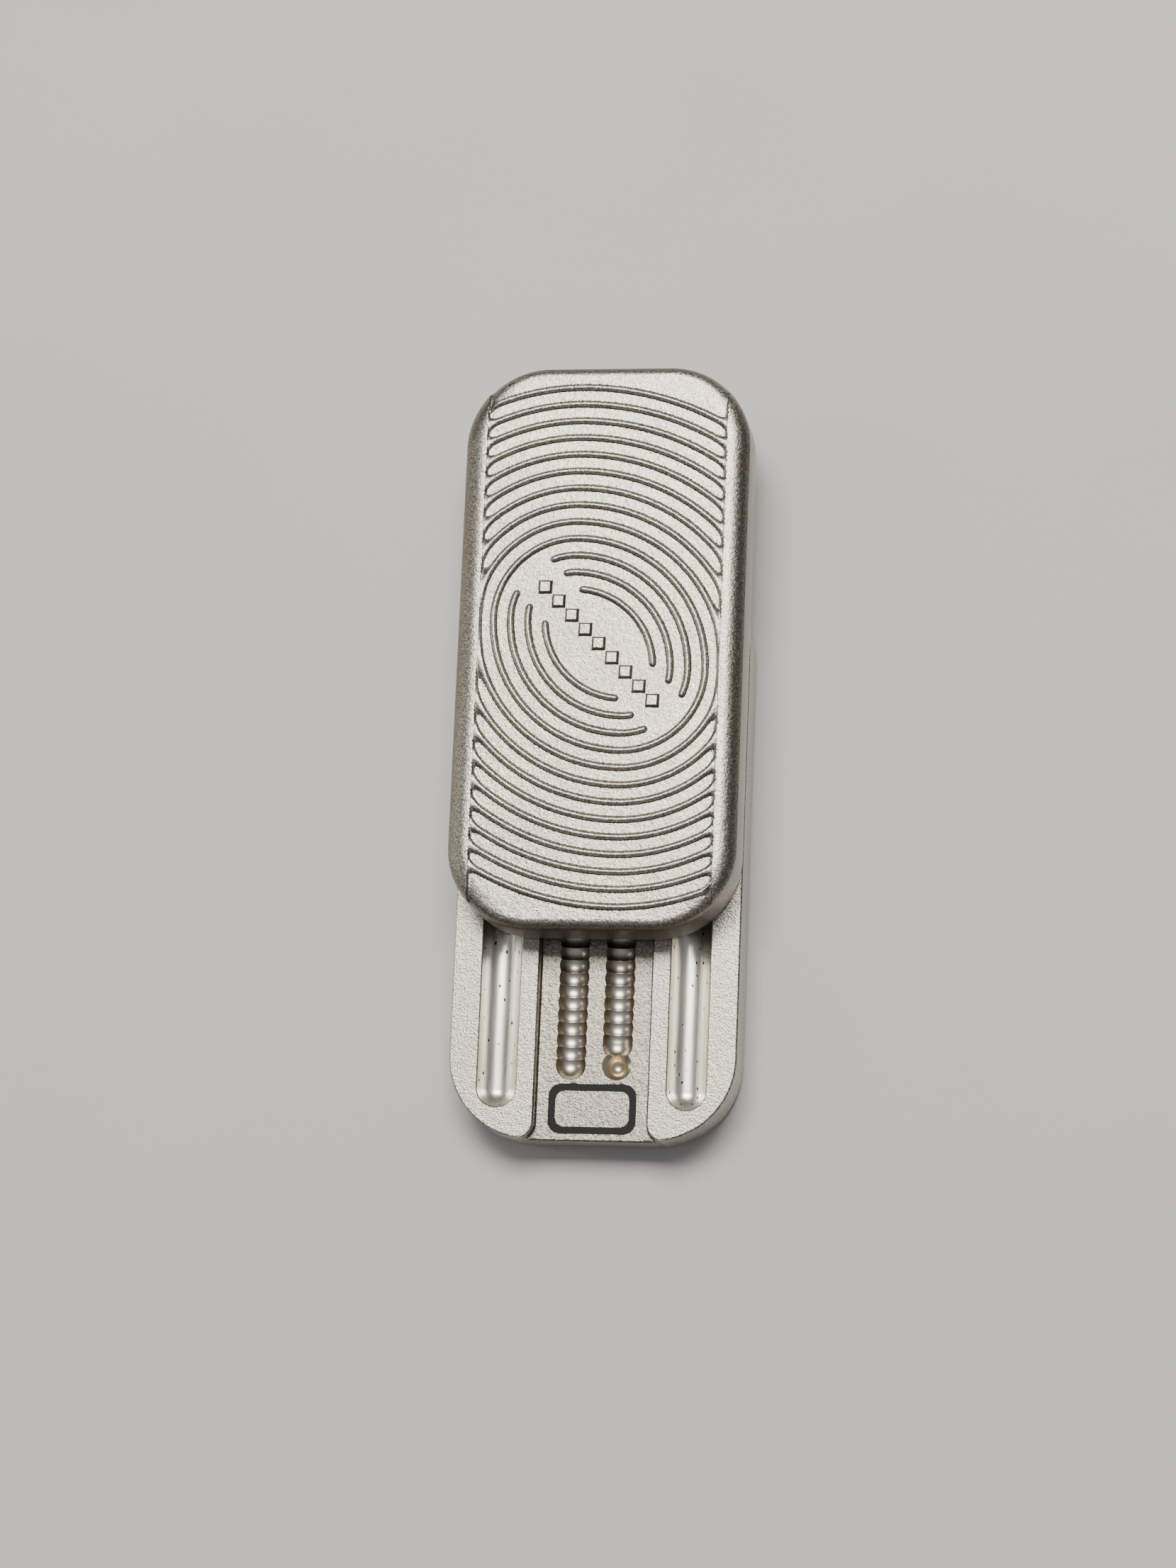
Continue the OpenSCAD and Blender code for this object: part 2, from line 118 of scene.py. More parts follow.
class Slab:
    """Closed rounded shape in the plane, in mm: a plate, a slot or a disc."""

    def __init__(self, half_w, half_l, corner, x=0.0, y=0.0):
        self.half_w, self.half_l, self.corner = half_w, half_l, corner
        self.x, self.y = x, y

    def inside(self, x, y):
        """Distance in from the edge, negative outside."""
        qx = np.abs(x - self.x) - (self.half_w - self.corner)
        qy = np.abs(y - self.y) - (self.half_l - self.corner)
        return (
            self.corner
            - np.hypot(np.maximum(qx, 0), np.maximum(qy, 0))
            - np.minimum(np.maximum(qx, qy), 0)
        )

    def turn_share(self, x, y):
        """0 beside the long sides, 1 beside the ends, in between round the corners."""
        qx = np.abs(x - self.x) - (self.half_w - self.corner)
        qy = np.abs(y - self.y) - (self.half_l - self.corner)
        t = np.arctan2(np.maximum(qy, 0), np.maximum(qx, 1e-9)) / (math.pi / 2)
        return t * t * (3 - 2 * t)

    def line(self, offset=0.0, step=1.0, turn=16):
        """Points along the edge, moved in by offset."""
        r = self.corner - offset
        points = []
        for quarter, (sx, sy) in enumerate(((1, 1), (-1, 1), (-1, -1), (1, -1))):
            cx = self.x + sx * (self.half_w - self.corner)
            cy = self.y + sy * (self.half_l - self.corner)
            for i in range(turn + 1):
                a = (quarter + i / turn) * math.pi / 2
                points.append((cx + r * math.cos(a), cy + r * math.sin(a)))
        out = []
        for p, q in zip(points, points[1:] + points[:1]):
            gap = math.dist(p, q)
            if gap < 1e-6:
                continue
            n = max(1, round(gap / step)) if gap > step else 1
            out += [(p[0] + (q[0] - p[0]) * i / n, p[1] + (q[1] - p[1]) * i / n) for i in range(n)]
        return out


PLATE = Slab(HALF_W, HALF_L, CORNER_R)


def closed(points):
    return points + points[:1]


def clipped(points, keep):
    """The runs of points for which keep holds."""
    runs, run = [], []
    for p, ok in zip(points, keep):
        if ok:
            run.append(p)
        else:
            if len(run) > 1:
                runs.append(run)
            run = []
    if len(run) > 1:
        runs.append(run)
    return runs


def within(points, slab, margin=0.05, x_limit=None):
    p = np.array(points)
    keep = slab.inside(p[:, 0], p[:, 1]) > margin
    if x_limit is not None:
        keep &= np.abs(p[:, 0]) < x_limit
    return clipped([tuple(q) for q in p], keep)


def net(outline, lines):
    """Triangles over an outline with an edge along every line."""
    points = [tuple(p) for p in outline]
    edges = [(i, (i + 1) % len(points)) for i in range(len(points))]
    for line in lines:
        base = len(points)
        points += [tuple(p) for p in line]
        edges += [(base + i, base + i + 1) for i in range(len(line) - 1)]
    verts, _, faces, from_verts, _, _ = geometry.delaunay_2d_cdt(
        [Vector(p) for p in points], edges, [], 1, 2e-3
    )
    rim = {}
    for i, sources in enumerate(from_verts):
        for s in sources:
            if s < len(outline):
                rim[s] = i
    return (
        np.array([tuple(v) for v in verts]),
        np.array(faces),
        [rim[i] for i in range(len(outline))],
    )


NORMAL_SHARE, NORMAL_REACH = 0.3, 0.012  # how far into its face a corner's normal is taken
STEEP = 4  # a face with more slope than this is shaded flat


def slopes(height, x, y, eps=0.004):
    dx = (height(x + eps, y) - height(x - eps, y)) / (2 * eps)
    dy = (height(x, y + eps) - height(x, y - eps)) / (2 * eps)
    return dx, dy


def side(verts, faces, height, up):
    """Heights, corner normals and windings of one side of a piece."""
    x, y = verts.T
    z = height(x, y)
    a, b, c = (verts[faces[:, k]] for k in range(3))
    turn = (b[:, 0] - a[:, 0]) * (c[:, 1] - a[:, 1]) - (b[:, 1] - a[:, 1]) * (c[:, 0] - a[:, 0])
    faces = np.where((turn > 0)[:, None] == up, faces, faces[:, ::-1])
    co = np.column_stack([verts, z])
    p = co[faces]
    flat = np.cross(p[:, 1] - p[:, 0], p[:, 2] - p[:, 0])
    flat /= np.maximum(np.linalg.norm(flat, axis=1), 1e-12)[:, None]
    centre = p[:, :, :2].mean(1)
    shift = centre[:, None, :] - p[:, :, :2]
    length = np.maximum(np.linalg.norm(shift, axis=2), 1e-9)
    reach = np.minimum(NORMAL_SHARE * length, NORMAL_REACH)
    spot = p[:, :, :2] + shift * (reach / length)[..., None]
    dx, dy = slopes(height, spot[..., 0], spot[..., 1])
    n = np.stack([-dx, -dy, np.ones_like(dx)], axis=2) * (1 if up else -1)
    n /= np.linalg.norm(n, axis=2)[..., None]
    cx, cy = slopes(height, centre[:, 0], centre[:, 1], 0.002)
    steep = np.hypot(cx, cy) > STEEP
    n[steep] = flat[steep][:, None, :]
    return co, faces, n, centre


def solid(name, slab, top, bottom, materials, paint=None, shade_paint=None, offset=0.0, outline=None):
    """Closed mesh between two height functions over one outline.

    top and bottom are (height, lines). paint gives each face's material number from its middle
    and whether it is on the top, and the shade function after it the share of painted shade at a
    vertex."""
    rim_line = outline or slab.line()
    parts = []
    for (height, lines), up in ((top, True), (bottom, False)):
        verts, faces, rim = net(rim_line, lines)
        parts.append((*side(verts, faces, height, up), rim))
    (tco, tf, tn, tc, trim), (bco, bf, bn, bc, brim) = parts
    co = np.vstack([tco, bco])
    base = len(tco)
    polygons = [tuple(map(int, f)) for f in tf] + [tuple(int(i) + base for i in f) for f in bf]
    normals = [tuple(v) for f in tn for v in f] + [tuple(v) for f in bn for v in f]
    kinds = [0] * len(polygons)
    if paint is not None:
        kinds = list(paint(tc[:, 0], tc[:, 1], True)) + list(paint(bc[:, 0], bc[:, 1], False))
    r = np.array(rim_line)
    e = 1e-3
    gx = (slab.inside(r[:, 0] + e, r[:, 1]) - slab.inside(r[:, 0] - e, r[:, 1])) / (2 * e)
    gy = (slab.inside(r[:, 0], r[:, 1] + e) - slab.inside(r[:, 0], r[:, 1] - e)) / (2 * e)
    out = -np.column_stack([gx, gy, np.zeros(len(r))])
    out /= np.linalg.norm(out, axis=1)[:, None]
    n = len(r)
    for i in range(n):
        j = (i + 1) % n
        polygons.append((trim[i], base + brim[i], base + brim[j], trim[j]))
        normals += [tuple(out[k]) for k in (i, i, j, j)]
        kinds.append(0)
    co[:, 1] += offset
    mesh = bpy.data.meshes.new(name)
    mesh.from_pydata([tuple(v) for v in co * MM], [], polygons)
    for m in materials:
        mesh.materials.append(m)
    mesh.polygons.foreach_set("material_index", np.array(kinds, dtype=np.int32))
    mesh.polygons.foreach_set("use_smooth", np.ones(len(polygons), dtype=bool))
    # Painted shade: a share per vertex that darkens the finish's colour where shade falls
    if shade_paint is not None:
        layer = mesh.attributes.new("painted_shade", "FLOAT", "POINT")
        values = np.concatenate(
            [shade_paint(tco[:, 0], tco[:, 1], True), shade_paint(bco[:, 0], bco[:, 1], False)]
        )
        layer.data.foreach_set("value", values.astype(np.float32))
    mesh.normals_split_custom_set(normals)
    mesh.update()
    obj = bpy.data.objects.new(name, mesh)
    bpy.context.scene.collection.objects.link(obj)
    return obj


def smooth_max(a, b, k):
    h = np.clip(0.5 + (a - b) / (2 * k), 0, 1)
    return b + (a - b) * h + k * h * (1 - h)


def smooth_min(a, b, k):
    return -smooth_max(-a, -b, k)


def bump_curve(t):
    t = np.clip(t, 0, 1)
    return t * t * (3 - 2 * t)


# Outer faces of both plates

EDGE_STEPS = (0.0, 0.03, 0.1, 0.22, 0.4, 0.62, 0.86, 1.1, 1.36, 1.62, 1.88, 2.12)


def edge_drop(x, y):
    """How far an outer face falls towards the plate's edge."""
    d = PLATE.inside(x, y)
    a = np.clip(SHOULDER_W - d, 0, SHOULDER_W)
    b = np.clip(END_R - d, 0, END_R)
    long_side = SHOULDER_R - np.sqrt(SHOULDER_R**2 - a * a)
    end = END_R - np.sqrt(np.maximum(END_R**2 - b * b, 0))
    w = PLATE.turn_share(x, y)
    return long_side + (end - long_side) * w


def edge_lines():
    return [closed(PLATE.line(d, 1.0, 20)) for d in EDGE_STEPS[1:]]


# Ring relief on the upper plate


def ring_frame(x, y):
    """Place along and across the row of studs."""
    c, s = math.cos(RING_TURN), math.sin(RING_TURN)
    return x * c + y * s, -x * s + y * c


def plate_frame(u, v):
    """The way back from ring_frame."""
    c, s = math.cos(RING_TURN), math.sin(RING_TURN)
    return u * c - v * s, u * s + v * c


def oval_point(r, a):
    """Point of the four-centred oval r where its normal has direction a."""
    if abs(math.sin(a)) >= abs(math.cos(a)):
        return r * math.cos(a), r * math.sin(a) - math.copysign(RING_CENTRE, math.sin(a))
    end_r = r - RING_CENTRE * math.sqrt(2)
    return end_r * math.cos(a) + math.copysign(RING_CENTRE, math.cos(a)), end_r * math.sin(a)


def arc_limit(n):
    """Direction in which open arc n ends."""
    r = RING_FIRST + n * RING_PITCH
    a = math.asin((ARC_GAP + RING_CENTRE) / r)
    return a if a >= math.pi / 4 else math.asin(ARC_GAP / (r - RING_CENTRE * math.sqrt(2)))


def ring_offset(x, y):
    """Distance from the middle line of the nearest ring or open arc."""
    u, v = np.abs(ring_frame(x, y))
    long_arc = u - v <= RING_CENTRE
    level = np.where(
        long_arc,
        np.hypot(u, v + RING_CENTRE),
        np.hypot(u - RING_CENTRE, v) + RING_CENTRE * math.sqrt(2),
    )
    turn = np.where(
        long_arc, np.arctan2(v + RING_CENTRE, u), np.arctan2(v, u - RING_CENTRE)
    )
    n = np.clip(np.round((level - RING_FIRST) / RING_PITCH), 0, LAST_RING)
    off = np.abs(level - RING_FIRST - n * RING_PITCH)
    for k in range(ARC_PAIRS):
        eu, ev = oval_point(RING_FIRST + k * RING_PITCH, arc_limit(k))
        past = (n == k) & (turn < arc_limit(k))
        off = np.where(past, np.hypot(u - eu, v - ev), off)
    return off


def stud_offset(x, y):
    """Distance outside the edge of the nearest stud, negative inside."""
    u, v = ring_frame(x, y)
    k = np.clip(np.round(u / STUD_PITCH), -(STUDS // 2), STUDS // 2)
    u = u - k * STUD_PITCH
    return (np.abs(u) + np.abs(v)) / math.sqrt(2) - STUD_HALF


def bead_half(x):
    """Half width of a bead, which flares where it runs into the field's side."""
    return RING_HALF + CUSP_WIDTH * np.clip(1 - (FIELD_HALF - np.abs(x)) / CUSP_REACH, 0, 1) ** 2


def relief_height(x, y):
    """Height over the field's floor of beads, studs and the field's hollow sides."""
    off = ring_offset(x, y)
    bead = RING_H * np.sqrt(np.clip(1 - (off / bead_half(x)) ** 2, 0, 1))
    bead = bead * bump_curve((PLATE.inside(x, y) - BEAD_END) / BEAD_FADE)
    stud = RING_H * np.clip(-stud_offset(x, y) / STUD_BEVEL, 0, 1)
    t = np.clip((np.abs(x) - FIELD_HALF + FIELD_R) / FIELD_R, 0, 1)
    border = FIELD_DEPTH * (1 - np.sqrt(1 - t * t))
    rise = np.maximum(bead, stud)
    blended = np.minimum(smooth_max(rise, border, BORDER_BLEND), FIELD_DEPTH)
    return np.where(t >= 1, FIELD_DEPTH, blended)


def upper_top(x, y):
    return TOP_Z - FIELD_DEPTH + relief_height(x, y) - edge_drop(x, y)


# Lines over a bead, as shares of its half width, and how far apart their points are
RING_SHARES = (0.0, 0.34, 0.62, 0.83, 0.94, 1.0, 1.28)
RING_STEP = 0.36


def flared_point(r, share, a):
    """Point over a ring at a share of its half width, in the plate's frame."""
    x, y = plate_frame(*oval_point(r + share * RING_HALF, a))
    if abs(x) > FIELD_HALF - CUSP_REACH:
        for _ in range(3):
            x, y = plate_frame(*oval_point(r + share * bead_half(x), a))
    return x, y


def ring_lines():
    lines = []
    for n in range(LAST_RING + 1):
        r = RING_FIRST + n * RING_PITCH
        steps = max(24, round(2 * math.pi * r / RING_STEP / 4) * 4)
        if n >= ARC_PAIRS:
            for share in RING_SHARES:
                for signed in sorted({share, -share}):
                    pts = [flared_point(r, signed, 2 * math.pi * i / steps) for i in range(steps)]
                    lines += within(closed(pts), PLATE, 0.05, FIELD_HALF - 0.005)
            continue
        a0 = arc_limit(n)
        m = max(8, steps // 4)
        turns = [a0 + (math.pi - 2 * a0) * i / m for i in range(m + 1)]
        middle_line = [oval_point(r, a) for a in turns]
        near, far = middle_line[0], middle_line[-1]
        for s in (1, -1):
            lines.append([plate_frame(s * u, s * v) for u, v in middle_line])
            for off in (share * RING_HALF for share in RING_SHARES[1:]):
                outer = [oval_point(r + off, a) for a in turns]
                inner = [oval_point(r - off, a) for a in turns]
                cap_far = [
                    (far[0] + off * math.cos(b), far[1] + off * math.sin(b))
                    for b in np.linspace(math.pi - a0, 2 * math.pi - a0, 10)[1:-1]
                ]
                cap_near = [
                    (near[0] + off * math.cos(b), near[1] + off * math.sin(b))
                    for b in np.linspace(a0 - math.pi, a0, 10)[1:-1]
                ]
                loop = outer + cap_far + inner[::-1] + cap_near
                lines.append([plate_frame(s * u, s * v) for u, v in closed(loop)])
    return lines


def stud_lines():
    lines = []
    for k in range(-(STUDS // 2), STUDS // 2 + 1):
        for grow in (STUD_FOOT, 0.0, -STUD_BEVEL):
            reach = (STUD_HALF + grow) * math.sqrt(2)
            corners = [(reach, 0), (0, reach), (-reach, 0), (0, -reach), (reach, 0)]
            lines.append([plate_frame(k * STUD_PITCH + u, v) for u, v in corners])
    return lines


def field_lines():
    lines = []
    for back in FIELD_STEPS:
        for s in (-1, 1):
            x = s * (FIELD_HALF - back)
            pts = [(x, y) for y in np.arange(-HALF_L + 0.2, HALF_L, 0.4)]
            lines += within(pts, PLATE)
    return lines


CREASE = 0.045  # half width of the painted shade in a bead's crease
ROLL_SHADE, END_SHADE = 0.62, 0.9  # painted shade on the rolled long edges and, darker, on the rolled ends


def upper_shade_paint(x, y, up):
    """Painted shade in the creases, on the rolled long edges and darkest on the rolled ends."""
    if not up:
        return groove_rim_shade_paint(x, y)
    off = ring_offset(x, y)
    foot = np.exp(-(((off - RING_HALF) / CREASE) ** 2)) * (off < RING_HALF + 2 * CREASE)
    foot = foot * bump_curve((PLATE.inside(x, y) - BEAD_END) / BEAD_FADE)
    foot = foot * (np.abs(x) < FIELD_HALF - 0.1)
    stud = np.exp(-((stud_offset(x, y) / 0.05) ** 2))
    d = PLATE.inside(x, y)
    share = PLATE.turn_share(x, y)
    roll = ROLL_SHADE * bump_curve((SHOULDER_W - 0.2 - d) / 1.5) * (1 - share)
    end = END_SHADE * bump_curve((END_R - 0.3 - d) / 0.7) * share
    return np.maximum.reduce([foot, stud, roll, end])


# Mating faces


def groove_distance(x, y):
    """Distance from the middle line of the nearest guide groove."""
    return np.hypot(np.abs(x) - GROOVE_X, np.maximum(np.abs(y) - GROOVE_HALF, 0))


def groove_cut(x, y, z, up):
    """z with the guide grooves cut into it, with a small bright rim."""
    sign = 1 if up else -1
    rho = groove_distance(x, y)
    rim = z - sign * np.clip(GROOVE_R + GROOVE_RIM - rho, 0, GROOVE_RIM)
    bowl = GROOVE_Z - sign * np.sqrt(np.maximum(GROOVE_R**2 - rho**2, 0))
    cut = np.where(rho < GROOVE_R, bowl, rim)
    return np.minimum(rim, cut) if up else np.maximum(rim, cut)


GROOVE_BOWL_RADII = (GROOVE_R, 2.03, 1.97, 1.86, 1.7, 1.5, 1.25, 0.95, 0.6, 0.3)


def groove_lines():
    lines = []
    for s in (-1, 1):
        for r in (GROOVE_R + GROOVE_RIM, *GROOVE_BOWL_RADII):
            slot = Slab(r, GROOVE_HALF + r, r, s * GROOVE_X, 0)
            lines.append(closed(slot.line(0, 2.0, 14)))
        lines.append([(s * GROOVE_X, y) for y in np.linspace(-GROOVE_HALF, GROOVE_HALF, 26)])
    return lines


LIP = 0.12  # chamfer round a pocket
CLEAR = 0.05  # room around what sits in a pocket


def sunk(z, inside, level, lip=LIP):
    """z with a pocket of upright walls down (or up) to level, with a small chamfer."""
    sign = math.copysign(1, level - float(np.mean(z)))
    z = z + sign * np.where(inside < 0, np.clip(inside + lip, 0, lip), lip)
    return z + (level - z) * np.clip(inside / WALL, 0, 1)


def pocket_lines(slab, lip=LIP, step=1.0, turn=12):
    return [closed(slab.line(d, step, turn)) for d in (-lip, 0.0, WALL)]


def disc(x, y, r):
    return Slab(r, r, r, x, y)


TONGUE_HALF_W, TONGUE_HALF_L = (TONGUE_HI[:2] - TONGUE_LO[:2]) / 2
TONGUE_FLAT = 0.4  # half length of the straight part across the tongue's ends
TONGUE_POCKET = Slab(
    TONGUE_HALF_W + CLEAR, TONGUE_HALF_L + CLEAR, TONGUE_HALF_W - TONGUE_FLAT + CLEAR
)
MAGNETS = range(1, 5)
MAGNET_WELL_R = 3.0 + CLEAR
UPPER_WELLS = [
    disc(0.0, middle(f"upper_magnet_{i}")[1] - SLID, MAGNET_WELL_R) for i in MAGNETS
]
UPPER_WELL_TOP = box_mm("upper_magnet_1")[1][2]
SPRING_BORE_R = 1.2 + CLEAR
SPRING_BORES = [
    disc(middle(n)[0], middle(n)[1] - SLID, SPRING_BORE_R)
    for n in ("detent_spring_left", "detent_spring_right")
]
SPRING_TOP = box_mm("detent_spring_left")[1][2]


def upper_bottom(x, y):
    z = np.full(np.shape(x), MATING_Z)
    z = z + np.clip(CHAMFER - PLATE.inside(x, y), 0, CHAMFER)
    z = groove_cut(x, y, z, False)
    z = sunk(z, TONGUE_POCKET.inside(x, y), TONGUE_HI[2])
    for well in UPPER_WELLS:
        z = sunk(z, well.inside(x, y), UPPER_WELL_TOP)
    for bore in SPRING_BORES:
        z = z + (SPRING_TOP - z) * np.clip(bore.inside(x, y) / WALL, 0, 1)
    return z


def upper_bottom_lines():
    lines = [closed(PLATE.line(CHAMFER, 1.0, 20))] + groove_lines()
    for shape in [TONGUE_POCKET, *UPPER_WELLS]:
        lines += pocket_lines(shape)
    for bore in SPRING_BORES:
        lines += [closed(bore.line(d, 1.0, 8)) for d in (0.0, WALL)]
    return lines


def groove_rim_shade_paint(x, y):
    """Painted shade along the grooves' rims."""
    rho = groove_distance(x, y)
    return 0.6 * np.exp(-(((rho - GROOVE_R) / 0.05) ** 2))


# Lower plate's upper side


def rail_inside(x, y):
    """Distance into the nearest rail from the channel, negative over the channel."""
    qx = CHANNEL_HALF + RAIL_R - np.abs(x)
    qy = np.abs(y) - (HALF_L - RAIL_R)
    return (
        RAIL_R
        - np.hypot(np.maximum(qx, 0), np.maximum(qy, 0))
        - np.minimum(np.maximum(qx, qy), 0)
    )


FOOT_H, FOOT_W = 0.12, 0.17  # hollow fillet at the foot of the channel's walls


def rail_lines():
    lines = []
    for t in (CHAMFER, 0.0, -WALL, -0.09, -WALL - FOOT_W):
        r = RAIL_R - t
        corner = [
            (CHANNEL_HALF + RAIL_R - r * math.cos(a), HALF_L - RAIL_R + r * math.sin(a))
            for a in np.linspace(0, math.pi / 2, 19)
        ]
        half = [(CHANNEL_HALF + t, y) for y in np.arange(0, HALF_L - RAIL_R - 0.5, 1.5)] + corner
        whole = [(x, -y) for x, y in half[::-1]] + half[1:]
        for s in (-1, 1):
            lines += within([(s * x, y) for x, y in whole], PLATE, 0.04)
    return lines


def cup(dx, dy):
    """Height of the ball-shaped cut that makes one scallop."""
    return CUP_Z - np.sqrt(np.maximum(CUP_R**2 - dx * dx - dy * dy, 0))


def row_surface(dx, y):
    """Height over one row of scallops whose parking pocket is at its -Y end."""
    k = np.clip(np.round(y / PITCH), FIRST_CUP, LAST_CUP)
    other = np.clip(k + np.where(y / PITCH > k, 1, -1), FIRST_CUP, LAST_CUP)
    near, far = cup(dx, y - k * PITCH), cup(dx, y - other * PITCH)
    z = np.where(other == k, near, smooth_min(near, far, RIDGE_BLEND))
    z = np.minimum(z, cup(dx, y - NECK_Y))
    rho = np.hypot(dx, y - PARK_Y)
    bowl = BOWL_Z - np.sqrt(np.maximum(BOWL_R**2 - rho**2, 0))
    cone = BOWL_Z + (rho - BOWL_R) / (CUP_RIM - BOWL_R) * (RIM_Z - BOWL_Z)
    rim = RIM_Z + (FLOOR_Z + 0.2 - RIM_Z) * np.clip((rho - CUP_RIM + WALL) / WALL, 0, 1)
    pocket = np.where(rho < BOWL_R, bowl, np.where(rho < CUP_RIM - WALL, cone, rim))
    return np.minimum(z, pocket)


ETCH_OUT = Slab(ETCH_HALF_W, ETCH_HALF_L, ETCH_R, 0, ETCH_Y)
ETCH_IN = Slab(
    ETCH_HALF_W - ETCH_BAND, ETCH_HALF_L - ETCH_BAND, ETCH_R - ETCH_BAND / 2, 0, ETCH_Y
)


def lower_top(x, y):
    z = np.full(np.shape(x), FACE_Z)
    z = groove_cut(x, y, z, True)
    s = rail_inside(x, y)
    z = z - np.clip(CHAMFER - s, 0, CHAMFER)
    foot = FOOT_H * np.clip(1 + (s + WALL) / FOOT_W, 0, 1) ** 2
    band = np.minimum(ETCH_OUT.inside(x, y), -ETCH_IN.inside(x, y))
    floor = FLOOR_Z + foot - ETCH_DEPTH * np.clip(band / ETCH_RAMP, 0, 1)
    rows = np.minimum(row_surface(x - ROW_X, y), row_surface(x + ROW_X, -y))
    floor = smooth_min(floor, rows, ROW_BLEND)
    z = z + (floor - z) * np.clip(-s / WALL, 0, 1)
    return z - np.clip(CHAMFER - PLATE.inside(x, y), 0, CHAMFER)


# Where the mesh's lines cross a cup, from its middle, and the radii of those round the ends
CUP_LINES = (-0.6, -0.48, -0.3, 0.0, 0.3, 0.48, 0.6, PITCH / 2)
ROUND_END_RADII = (CUP_RIM + 0.06, CUP_RIM, CUP_RIM - 0.07, 1.35, 1.1, 0.8)
PARKING_RIM_RADII = (CUP_RIM + 0.06, CUP_RIM, CUP_RIM - WALL, 1.3)
BOWL_RADII = (BOWL_R + 0.04, BOWL_R, 1.03, 0.92, 0.75, 0.5, 0.25)
PARKING_RADII = PARKING_RIM_RADII + BOWL_RADII


def row_lines():
    lines = []
    for k in range(FIRST_CUP, LAST_CUP + 1):
        for dy in CUP_LINES:
            y = k * PITCH + dy
            reach = math.sqrt((CUP_RIM + 0.05) ** 2 - dy * dy)
            lines.append([(dx, y) for dx in np.linspace(-reach, reach, 25)])
        for grow in (-0.07, 0.0, 0.06):
            r = CUP_RIM + grow
            half = math.asin(PITCH / 2 / r)
            for s in (-1, 1):
                turns = np.linspace(-half, half, 9)
                lines.append([(s * r * math.cos(a), k * PITCH + r * math.sin(a)) for a in turns])
    for y in (LAST_CUP * PITCH, NECK_Y):
        end = 1 if y > 0 else -1
        for r in ROUND_END_RADII:
            turns = np.linspace(0, math.pi, 21)
            lines.append([(r * math.cos(a), y + end * r * math.sin(a)) for a in turns])
    for r in PARKING_RADII:
        turns = np.linspace(0, 2 * math.pi, 33)
        ring = [(r * math.cos(a), PARK_Y + r * math.sin(a)) for a in turns]
        lines.append(closed(ring[:-1]))
    turned = [[(ROW_X + dx, y) for dx, y in line] for line in lines]
    return turned + [[(-ROW_X - dx, -y) for dx, y in line] for line in lines]


def lower_top_lines():
    lines = [closed(PLATE.line(CHAMFER, 1.0, 20))] + groove_lines() + rail_lines() + row_lines()
    for frame_line, sign in ((ETCH_OUT, 1), (ETCH_IN, -1)):
        lines += [closed(frame_line.line(d * sign, 0.8, 8)) for d in (0.0, ETCH_RAMP)]
    return lines


STEEL, GROOVE, SCALLOP, PARKING, ETCHED = range(5)


def lower_paint(x, y, up):
    kind = np.full(len(x), STEEL)
    if not up:
        return kind
    kind[groove_distance(x, y) < GROOVE_R] = GROOVE
    for s in (-1, 1):
        dx, sy = x - s * ROW_X, y * s
        k = np.clip(np.round(sy / PITCH), FIRST_CUP, LAST_CUP)
        rho = np.minimum(np.hypot(dx, sy - k * PITCH), np.hypot(dx, sy - NECK_Y))
        kind[rho < CUP_RIM] = SCALLOP
        kind[np.hypot(dx, sy - PARK_Y) < CUP_RIM] = PARKING
    sliver = ETCH_RAMP / 4
    band = (ETCH_OUT.inside(x, y) > sliver) & (ETCH_IN.inside(x, y) < -sliver)
    kind[band] = ETCHED
    return kind


def upper_paint(x, y, up):
    kind = np.full(len(x), STEEL)
    if not up:
        kind[groove_distance(x, y) < GROOVE_R] = GROOVE
    return kind


# Strengths of the painted shade on the channel floor, at its walls' feet, on the scallops' sides
# and near their ridges
CHANNEL_SHADE, FOOT_SHADE = 0.38, 0.9
CUP_SIDE_SHADE, RIDGE_SHADE = 0.75, 0.12


def lower_shade_paint(x, y, up):
    """Painted shade over the recessed channel floor, most at its walls' feet, on the scallops'
    sides and towards their ridges.
    """
    if not up:
        return np.zeros(len(x))
    s = rail_inside(x, y)
    foot = FOOT_SHADE * np.exp(-(((s + 0.06) / 0.05) ** 2))
    across = np.abs(np.abs(x) - ROW_X)
    beside = bump_curve((across - 0.75) / 0.6)
    ridge = np.sin(math.pi * y / PITCH) ** 2
    cups = CUP_SIDE_SHADE * beside + RIDGE_SHADE * ridge
    rows = np.minimum(row_surface(x - ROW_X, y), row_surface(x + ROW_X, -y))
    in_row = (across < CUP_RIM) & (rows < FLOOR_Z)
    floor = np.where(in_row, cups, CHANNEL_SHADE * (s < -WALL))
    return np.maximum.reduce([groove_rim_shade_paint(x, y), foot, floor])


# Lower plate's underside and the base cover

COVER_CORNER_R, COVER_CHAMFER = 5.6, 0.2
COVER = Slab(
    (COVER_HI[0] - COVER_LO[0]) / 2, (COVER_HI[1] - COVER_LO[1]) / 2, COVER_CORNER_R
)
RECESS = Slab(COVER.half_w + CLEAR, COVER.half_l + CLEAR, COVER.corner + CLEAR)
LOWER_WELLS = [disc(0.0, middle(f"lower_magnet_{i}")[1], MAGNET_WELL_R) for i in MAGNETS]
LOWER_WELL_TOP = box_mm("lower_magnet_1")[1][2]
SCREW_LO, SCREW_HI = box_mm("base_screws")
SCREW_HEAD_R, SCREW_SHANK_R = 1.4, 0.8
SCREW_HEAD_H, SCREW_EDGE = 0.7, 0.2
SCREW_CLEAR, SCREW_LIP = 0.04, 0.08
SOCKET_HALF, SOCKET_H, SOCKET_LIP = 0.56, 0.45, 0.06
SCREW_XY = [
    (sx * (SCREW_HI[0] - SCREW_HEAD_R), sy * (SCREW_HI[1] - SCREW_HEAD_R))
    for sx in (-1, 1)
    for sy in (-1, 1)
]


